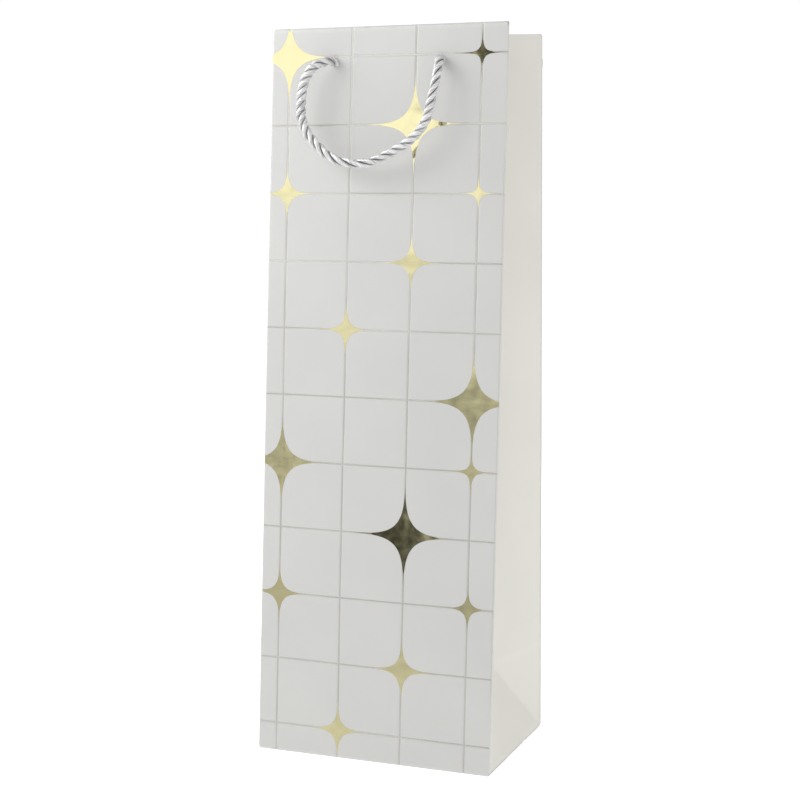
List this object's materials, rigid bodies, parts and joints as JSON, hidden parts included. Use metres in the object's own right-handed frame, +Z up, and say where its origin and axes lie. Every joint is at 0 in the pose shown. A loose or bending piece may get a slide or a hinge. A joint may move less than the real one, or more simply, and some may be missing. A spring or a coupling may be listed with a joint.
{
  "type": "wine gift bag",
  "caption": "Tall square-bottomed paper gift bag for a wine bottle, with V-folded gussets, twisted rope handles and a foil grid with stars.",
  "frame": {"origin": "centre of the bag's bottom, on the surface it stands on", "axes": "+Z up from the bottom to the rim, X across the wide front, the front faces -Y"},
  "size_m": [0.123, 0.091, 0.3596],
  "materials": {
    "front_paper": "satin",
    "side_paper": "satin",
    "card": "matte",
    "cord": "satin",
    "foil": "polished"
  },
  "bodies": {
    "bag": {"front_panel": "front_paper", "front_rim_card": "card", "front_hem": "front_paper", "front_foil": "foil", "front_cord_end_left": "cord", "front_cord_end_right": "cord", "front_knot_left": "cord", "front_knot_right": "cord", "back_panel": "front_paper", "back_rim_card": "card", "back_hem": "front_paper", "back_foil": "foil", "back_cord_end_left": "cord", "back_cord_end_right": "cord", "back_knot_left": "cord", "back_knot_right": "cord", "seam_tab": "side_paper", "left_gusset_base": "side_paper", "left_front_gusset_fold": "side_paper", "left_front_gusset": "side_paper", "left_front_gusset_hem": "side_paper", "left_back_gusset_fold": "side_paper", "left_back_gusset": "side_paper", "left_back_gusset_hem": "side_paper", "right_gusset_base": "side_paper", "right_front_gusset_fold": "side_paper", "right_front_gusset": "side_paper", "right_front_gusset_hem": "side_paper", "right_back_gusset_fold": "side_paper", "right_back_gusset": "side_paper", "right_back_gusset_hem": "side_paper", "bottom_flap_front": "side_paper", "bottom_flap_back": "side_paper", "bottom_flap_left": "side_paper", "bottom_flap_right": "side_paper"},
    "front_handle": {"front_handle": "cord"},
    "back_handle": {"back_handle": "cord"},
    "bottom_card": {"bottom_card": "card"}
  },
  "joints": [
    {"name": "front_handle_swing", "type": "hinge", "parent": "bag", "child": "front_handle", "pos_m": [0, -0.03577, 0.34294], "axis": [-1, 0, 0], "range_deg": [0, 170], "deforming": ["front_cord_end_left", "front_cord_end_right"]},
    {"name": "back_handle_swing", "type": "hinge", "parent": "bag", "child": "back_handle", "pos_m": [0, 0.03577, 0.34294], "axis": [1, 0, 0], "range_deg": [0, 170], "deforming": ["back_cord_end_left", "back_cord_end_right"]},
    {"name": "bottom_card_lift", "type": "slide", "parent": "bag", "child": "bottom_card", "axis": [0, 0, 1], "range_m": [0, 0.008]}
  ]
}
